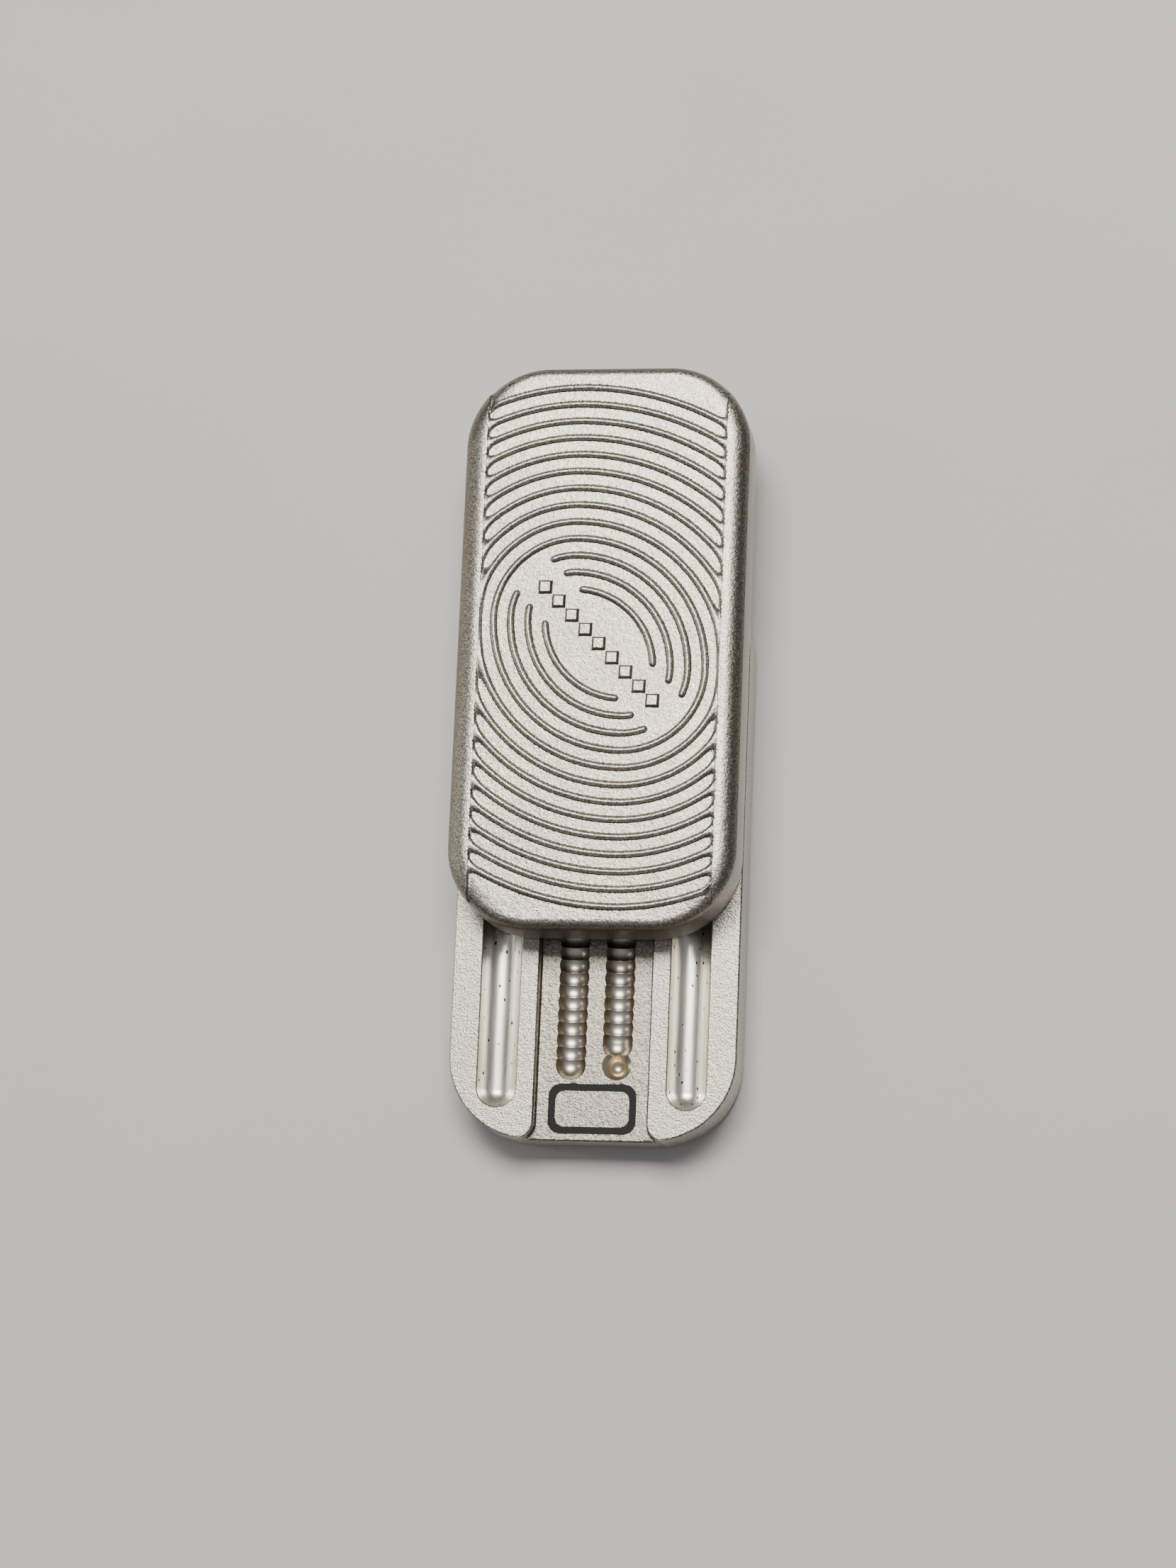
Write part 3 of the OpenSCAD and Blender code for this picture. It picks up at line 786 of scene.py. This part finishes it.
def lower_bottom(x, y):
    z = edge_drop(x, y) + LOWER_LO[2]
    z = sunk(z, RECESS.inside(x, y), COVER_HI[2])
    for well in LOWER_WELLS:
        z = z + (LOWER_WELL_TOP - z) * np.clip(well.inside(x, y) / WALL, 0, 1)
    for sx, sy in SCREW_XY:
        bore = SCREW_SHANK_R + SCREW_CLEAR - np.hypot(x - sx, y - sy)
        z = z + (SCREW_HI[2] - z) * np.clip(bore / WALL, 0, 1)
    return z


def lower_bottom_lines():
    lines = edge_lines() + pocket_lines(RECESS)
    for well in LOWER_WELLS:
        lines += [closed(well.line(d, 1.0, 12)) for d in (0.0, WALL)]
    for sx, sy in SCREW_XY:
        bore = disc(sx, sy, SCREW_SHANK_R + SCREW_CLEAR)
        lines += [closed(bore.line(d, 1.0, 6)) for d in (0.0, WALL)]
    return lines


# Materials


def material(name, colour, metallic=1.0, roughness=0.4):
    m = bpy.data.materials.new(name)
    m.use_nodes = True
    shader = m.node_tree.nodes["Principled BSDF"]
    shader.inputs["Base Color"].default_value = (*colour, 1)
    shader.inputs["Metallic"].default_value = metallic
    shader.inputs["Roughness"].default_value = roughness
    return m, shader


class Nodes:
    """Short hand for building one material's nodes."""

    def __init__(self, m, shader):
        self.tree, self.shader = m.node_tree, shader
        self.coords = self.add("ShaderNodeTexCoord").outputs["Object"]

    def add(self, kind, **values):
        node = self.tree.nodes.new(kind)
        for key, value in values.items():
            setattr(node, key, value)
        return node

    def link(self, a, b):
        self.tree.links.new(a, b)

    def noise(self, grain_mm, detail=3.0, stretch=(1, 1, 1), roughness=0.55):
        """Noise with grains of that size. stretch makes them longer along an axis."""
        mapping = self.add("ShaderNodeMapping")
        mapping.inputs["Scale"].default_value = [1 / (grain_mm * MM * s) for s in stretch]
        node = self.add("ShaderNodeTexNoise")
        node.inputs["Scale"].default_value = 1.0
        node.inputs["Detail"].default_value = detail
        node.inputs["Roughness"].default_value = roughness
        self.link(self.coords, mapping.inputs["Vector"])
        self.link(mapping.outputs["Vector"], node.inputs["Vector"])
        return node.outputs["Fac"]

    def spots(self, spacing_mm, radius, stretch=(1, 1, 1)):
        """1 in small scattered dots, and 0 elsewhere."""
        mapping = self.add("ShaderNodeMapping")
        mapping.inputs["Scale"].default_value = [1 / (spacing_mm * MM * s) for s in stretch]
        node = self.add("ShaderNodeTexVoronoi")
        node.inputs["Scale"].default_value = 1.0
        self.link(self.coords, mapping.inputs["Vector"])
        self.link(mapping.outputs["Vector"], node.inputs["Vector"])
        return self.ramp(node.outputs["Distance"], ((radius * 0.6, 1), (radius, 0)))

    def ramp(self, value, stops):
        """Grey ramp: stops are (position, grey)."""
        node = self.add("ShaderNodeValToRGB")
        points = node.color_ramp.elements
        for i, (at, grey) in enumerate(stops):
            e = points[i] if i < 2 else points.new(at)
            e.position = at
            e.color = (grey, grey, grey, 1)
        self.link(value, node.inputs["Fac"])
        return node.outputs["Color"]

    def mix(self, factor, a, b):
        node = self.add("ShaderNodeMix", data_type="RGBA")
        for socket, value in ((node.inputs[0], factor), (node.inputs[6], a), (node.inputs[7], b)):
            if hasattr(value, "links"):
                self.link(value, socket)
            elif isinstance(value, tuple):
                socket.default_value = (*value, 1)
            else:
                socket.default_value = value
        return node.outputs[2]

    def maths(self, kind, a, b):
        node = self.add("ShaderNodeMath", operation=kind)
        for socket, value in zip(node.inputs, (a, b)):
            if hasattr(value, "links"):
                self.link(value, socket)
            else:
                socket.default_value = value
        return node.outputs[0]

    def attribute(self, name):
        return self.add("ShaderNodeAttribute", attribute_name=name).outputs["Fac"]

    def to(self, name, value):
        self.link(value, self.shader.inputs[name])

    def bump(self, layers):
        """Layers are (height, distance in mm, strength)."""
        normal = None
        for height, distance, strength in layers:
            node = self.add("ShaderNodeBump")
            node.inputs["Strength"].default_value = strength
            node.inputs["Distance"].default_value = distance * MM
            self.link(height, node.inputs["Height"])
            if normal is not None:
                self.link(normal, node.inputs["Normal"])
            normal = node.outputs["Normal"]
        self.link(normal, self.shader.inputs["Normal"])


def blasted_steel():
    """Bead-blasted stainless steel: warm and finely speckled, with painted shade darkening its
    creases and edges.
    """
    m, shader = material("blasted_steel", (0.55, 0.52, 0.45), 1.0, 0.36)
    n = Nodes(m, shader)
    fine = n.noise(0.2, 2.0, roughness=0.6)
    coarse = n.noise(0.55, 2.0)
    cloud = n.noise(14.0, 3.0)
    base = n.mix(n.ramp(cloud, ((0.35, 0), (0.65, 1))), (0.56, 0.53, 0.455), (0.5, 0.465, 0.42))
    dark = n.mix(n.ramp(fine, ((0.36, 0.75), (0.5, 0))), base, (0.22, 0.2, 0.16))
    speckled = n.mix(n.ramp(fine, ((0.55, 0), (0.68, 0.8))), dark, (0.86, 0.84, 0.79))
    # Painted shade: dark brown mixed in by the per-vertex shade share
    shaded_colour = n.mix(n.attribute("painted_shade"), speckled, (0.13, 0.1, 0.06))
    n.to("Base Color", shaded_colour)
    rough = n.maths("ADD", n.maths("MULTIPLY", fine, 0.24), 0.2)
    n.to("Roughness", n.maths("ADD", rough, n.maths("MULTIPLY", cloud, 0.06)))
    n.bump([(fine, 0.05, 0.9), (coarse, 0.06, 0.5)])
    return m


def groove_steel():
    """Guide grooves: lengthwise tool marks, worn bright, with a few dark pits."""
    m, shader = material("groove_steel", (0.84, 0.8, 0.72), 1.0, 0.25)
    n = Nodes(m, shader)
    streak = n.noise(0.1, 3.0, stretch=(1, 40, 1))
    broad = n.noise(0.5, 2.0, stretch=(1, 14, 1))
    cloud = n.noise(3.0, 3.0, stretch=(1, 3, 1))
    base = n.mix(n.ramp(broad, ((0.35, 0), (0.65, 1))), (0.95, 0.93, 0.87), (0.88, 0.84, 0.75))
    stained = n.mix(n.ramp(cloud, ((0.5, 0), (0.75, 0.5))), base, (0.42, 0.33, 0.22))
    pits = n.spots(0.8, 0.17, stretch=(1, 1.6, 1))
    pitted = n.mix(pits, stained, (0.05, 0.04, 0.03))
    # Painted shade: brown mixed in along the rims by the per-vertex shade share
    n.to("Base Color", n.mix(n.attribute("painted_shade"), pitted, (0.3, 0.22, 0.13)))
    n.to("Roughness", n.maths("ADD", n.maths("MULTIPLY", streak, 0.2), 0.2))
    n.bump([(streak, 0.01, 0.35), (pits, -0.02, 0.5)])
    return m


def scallop_steel():
    """Detent scallops: smooth gunmetal, darkened on the cups' sides and near the ridges by painted
    shade.
    """
    m, shader = material("scallop_steel", (0.6, 0.56, 0.5), 1.0, 0.3)
    n = Nodes(m, shader)
    fine = n.noise(0.12, 2.0)
    cloud = n.noise(1.6, 3.0)
    base = n.mix(n.ramp(cloud, ((0.4, 0), (0.65, 1))), (0.72, 0.68, 0.61), (0.6, 0.54, 0.45))
    # Painted shade: darker brown on the cups' sides and near the ridges, by the per-vertex shade
    # share
    n.to("Base Color", n.mix(n.attribute("painted_shade"), base, (0.16, 0.12, 0.07)))
    n.to("Roughness", n.maths("ADD", n.maths("MULTIPLY", fine, 0.16), 0.24))
    n.bump([(fine, 0.006, 0.35)])
    return m


def parking_steel():
    """Parking pocket: tarnished golden."""
    m, shader = material("parking_steel", (0.72, 0.66, 0.52), 1.0, 0.26)
    n = Nodes(m, shader)
    fine = n.noise(0.3, 2.0)
    cloud = n.noise(1.4, 2.0)
    n.to(
        "Base Color",
        n.mix(n.ramp(cloud, ((0.35, 0), (0.65, 1))), (0.78, 0.72, 0.58), (0.66, 0.57, 0.41)),
    )
    n.to("Roughness", n.maths("ADD", n.maths("MULTIPLY", fine, 0.12), 0.24))
    n.bump([(fine, 0.003, 0.25)])
    return m


def etched_steel():
    """Black etching with a little of the steel showing through."""
    m, shader = material("etched_steel", (0.022, 0.022, 0.024), 0.1, 0.55)
    shader.inputs["Specular IOR Level"].default_value = 0.2
    n = Nodes(m, shader)
    fine = n.noise(0.14, 3.0)
    n.to(
        "Base Color",
        n.mix(n.ramp(fine, ((0.58, 0), (0.74, 0.6))), (0.013, 0.013, 0.014), (0.09, 0.085, 0.08)),
    )
    n.to("Roughness", n.maths("ADD", n.maths("MULTIPLY", fine, 0.25), 0.35))
    n.bump([(fine, 0.02, 0.6)])
    return m


def turned_metal(name, light, dark, low, high, grain=0.12, depth=0.006, metallic=1.0):
    """A smooth metal with slight clouding and fine marks."""
    m, shader = material(name, light, metallic, low)
    n = Nodes(m, shader)
    fine = n.noise(grain, 2.0)
    cloud = n.noise(1.5, 3.0)
    n.to("Base Color", n.mix(n.ramp(cloud, ((0.35, 0), (0.7, 1))), light, dark))
    n.to("Roughness", n.maths("ADD", n.maths("MULTIPLY", fine, high - low), low))
    n.bump([(fine, depth, 0.4)])
    return m


def floor_material():
    m, shader = material("pale_floor", (0.74, 0.735, 0.725), 0.0, 0.62)
    n = Nodes(m, shader)
    cloud = n.noise(60.0, 3.0)
    light, dark = (0.75, 0.745, 0.735), (0.72, 0.715, 0.705)
    n.to("Base Color", n.mix(n.ramp(cloud, ((0.3, 0), (0.7, 1))), light, dark))
    n.bump([(n.noise(1.2, 2.0), 0.03, 0.1)])
    return m


steel = blasted_steel()
groove = groove_steel()
finishes = [steel, groove, scallop_steel(), parking_steel(), etched_steel()]
ball_metal = turned_metal("ball_metal", (0.86, 0.86, 0.86), (0.8, 0.8, 0.81), 0.05, 0.12)
magnet_metal = turned_metal("magnet_metal", (0.72, 0.71, 0.69), (0.62, 0.61, 0.6), 0.18, 0.32)
screw_metal = turned_metal("screw_metal", (0.16, 0.16, 0.17), (0.1, 0.1, 0.11), 0.3, 0.45)
bronze_metal = turned_metal("bronze_metal", (0.72, 0.5, 0.27), (0.58, 0.38, 0.19), 0.26, 0.42)
spring_metal = turned_metal("spring_metal", (0.55, 0.54, 0.52), (0.42, 0.41, 0.4), 0.2, 0.34)

# Plates

upper = solid(
    "upper_slider_plate",
    PLATE,
    (upper_top, edge_lines() + field_lines() + ring_lines() + stud_lines()),
    (upper_bottom, upper_bottom_lines()),
    finishes[:2],
    upper_paint,
    upper_shade_paint,
    SLID,
    PLATE.line(0.0, 1.0, 20),
)
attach(upper, "upper")
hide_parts("upper_plate")


RAIL_END_X = (6.6, 8.2)  # where the rails' round corners meet the plate's ends
RAIL_END_SPLITS = 12


def lower_outline():
    """The plate's outline, with more points where the rails' corners end."""
    points = PLATE.line(0.0, 1.0, 20)
    out = []
    for p, q in zip(points, points[1:] + points[:1]):
        mid_x, mid_y = abs(p[0] + q[0]) / 2, abs(p[1] + q[1]) / 2
        corner = RAIL_END_X[0] < mid_x < RAIL_END_X[1] and mid_y > HALF_L - 1
        n = RAIL_END_SPLITS if corner else 1
        out += [(p[0] + (q[0] - p[0]) * i / n, p[1] + (q[1] - p[1]) * i / n) for i in range(n)]
    return out


lower = solid(
    "lower_slider_plate",
    PLATE,
    (lower_top, lower_top_lines()),
    (lower_bottom, lower_bottom_lines()),
    finishes,
    lower_paint,
    lower_shade_paint,
    0.0,
    lower_outline(),
)
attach(lower, "lower")
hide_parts("lower_plate")

# Base cover, screws and magnets


def cover_bottom(x, y):
    z = COVER_LO[2] + np.clip(COVER_CHAMFER - COVER.inside(x, y), 0, COVER_CHAMFER)
    for sx, sy in SCREW_XY:
        inside = SCREW_HEAD_R + SCREW_CLEAR - np.hypot(x - sx, y - sy)
        z = sunk(z, inside, SCREW_HEAD_H, SCREW_LIP)
    return z


cover_lines = [closed(COVER.line(COVER_CHAMFER, 1.0, 14))]
for sx, sy in SCREW_XY:
    cover_lines += pocket_lines(disc(sx, sy, SCREW_HEAD_R + SCREW_CLEAR), SCREW_LIP)
cover = solid(
    "base_cover_plate",
    COVER,
    (lambda x, y: np.full(np.shape(x), COVER_HI[2]), []),
    (cover_bottom, cover_lines),
    [steel],
    None,
    lambda x, y, up: np.zeros(len(x)),
    0.0,
    COVER.line(0.0, 1.0, 14),
)
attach(cover, "lower")
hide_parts("base_cover")


def socket_inside(u, v):
    """Distance in from the edge of a hexagon socket, negative outside."""
    far = np.abs(u)
    for a in (math.pi / 3, 2 * math.pi / 3):
        far = np.maximum(far, np.abs(u * math.cos(a) + v * math.sin(a)))
    return SOCKET_HALF - far


def screw_head(name, x0, y0):
    """Socket head seen from below, with a rounded edge and a hexagon socket."""
    head = disc(x0, y0, SCREW_HEAD_R)
    face_z = SCREW_LO[2]

    def bottom(x, y):
        back = np.clip(SCREW_EDGE - head.inside(x, y), 0, SCREW_EDGE)
        z = face_z + SCREW_EDGE - np.sqrt(np.maximum(SCREW_EDGE**2 - back**2, 0))
        h = socket_inside(x - x0, y - y0)
        z = z + np.clip(h + SOCKET_LIP, 0, SOCKET_LIP)
        return z + (face_z + SOCKET_H - z) * np.clip(h / WALL, 0, 1)

    lines = [closed(head.line(d, 1.0, 10)) for d in (0.02, 0.06, 0.12, SCREW_EDGE)]
    for d in (-SOCKET_LIP, 0.0, WALL):
        reach = (SOCKET_HALF - d) / math.cos(math.pi / 6)
        corners = [
            (x0 + reach * math.cos(a), y0 + reach * math.sin(a))
            for a in (math.pi / 6 + k * math.pi / 3 for k in range(6))
        ]
        lines.append(closed(corners))
    obj = solid(
        name,
        head,
        (lambda x, y: np.full(np.shape(x), face_z + SCREW_HEAD_H), []),
        (bottom, lines),
        [screw_metal],
        outline=head.line(0.0, 1.0, 10),
    )
    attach(obj, "lower")
    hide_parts("base_screws")


for i, (sx, sy) in enumerate(SCREW_XY):
    screw_head(f"base_screw_{i + 1}", sx, sy)

NODE_FINISH = {
    "tongue_block": bronze_metal,
    "tongue_screws": screw_metal,
    "detent_spring_left": spring_metal,
    "detent_spring_right": spring_metal,
    "detent_ball_left": ball_metal,
    "detent_ball_right": ball_metal,
}
for i in MAGNETS:
    NODE_FINISH[f"guide_ball_{i}"] = ball_metal
    NODE_FINISH[f"lower_magnet_{i}"] = magnet_metal
    NODE_FINISH[f"upper_magnet_{i}"] = magnet_metal
for name, finish in NODE_FINISH.items():
    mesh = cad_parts[name].data
    mesh.materials.clear()
    mesh.materials.append(finish)

# Floor, lights and camera

FLOOR_HALF, FLOOR_SINK = 1.5, 0.00005
FLOOR_CORNERS = ((-1, -1), (1, -1), (1, 1), (-1, 1))
floor_mesh = bpy.data.meshes.new("floor")
floor_mesh.from_pydata(
    [(sx * FLOOR_HALF, sy * FLOOR_HALF, -FLOOR_SINK) for sx, sy in FLOOR_CORNERS],
    [],
    [(0, 1, 2, 3)],
)
floor_mesh.materials.append(floor_material())
floor = bpy.data.objects.new("floor", floor_mesh)
bpy.context.scene.collection.objects.link(floor)


def softbox(name, at, size, power, colour):
    """Rectangular light aimed at the slider."""
    light = bpy.data.lights.new(name, "AREA")
    light.shape = "RECTANGLE"
    light.size, light.size_y = size
    light.energy = power
    light.color = colour
    obj = bpy.data.objects.new(name, light)
    obj.location = at
    obj.rotation_mode = "QUATERNION"
    obj.rotation_quaternion = (Vector(at) - Vector((0, 0.01, 0.01))).to_track_quat("Z", "Y")
    bpy.context.scene.collection.objects.link(obj)


softbox("key", (0.02, 0.3, 0.75), (0.45, 0.3), 6.6, (1.0, 0.965, 0.91))
softbox("fill_left", (-0.9, 0.1, 0.3), (0.12, 0.6), 1.0, (1.0, 0.97, 0.93))

# The room gets lighter from the horizon up
world = bpy.data.worlds.new("studio")
world.use_nodes = True
sky = world.node_tree
sky_coords = sky.nodes.new("ShaderNodeTexCoord")
sky_split = sky.nodes.new("ShaderNodeSeparateXYZ")
sky_ramp = sky.nodes.new("ShaderNodeValToRGB")
for stop, (at, grey) in zip(
    [*sky_ramp.color_ramp.elements, sky_ramp.color_ramp.elements.new(1.0)],
    ((0.0, 0.17), (0.45, 0.2), (1.0, 0.55)),
):
    stop.position, stop.color = at, (grey, grey, grey * 1.04, 1)
sky.links.new(sky_coords.outputs["Generated"], sky_split.inputs[0])
sky.links.new(sky_split.outputs["Z"], sky_ramp.inputs["Fac"])
sky.links.new(sky_ramp.outputs["Color"], sky.nodes["Background"].inputs["Color"])
sky.nodes["Background"].inputs["Strength"].default_value = 0.55
bpy.context.scene.world = world

# Camera: turned about Y, then X, then its own axis. AIM is where the middle of the lower
# plate's face lies from the camera, in mm, before the roll
TILT_X, TILT_Y, TWIST = -0.20697, -0.17042, -0.01017
ROLL = Matrix.Rotation(-math.radians(1.8), 3, "Z")
AIM = Vector((1.50166, -7.08324, -428.20725))
tilt = Matrix.Rotation(TILT_X, 3, "X") @ Matrix.Rotation(TILT_Y, 3, "Y")
turn = ROLL @ Matrix.Rotation(TWIST, 3, "Z") @ tilt
eye = -(turn.transposed() @ ROLL @ AIM) + Vector((0, 0, FACE_Z))
camera = bpy.data.cameras.new("camera")
camera.sensor_width = 36.0
camera.lens = 94.59
camera.clip_start = 0.01
camera.clip_end = 10.0
cam = bpy.data.objects.new("camera", camera)
cam.matrix_world = Matrix.Translation(eye * MM) @ turn.transposed().to_4x4()
bpy.context.scene.collection.objects.link(cam)
bpy.context.scene.camera = cam
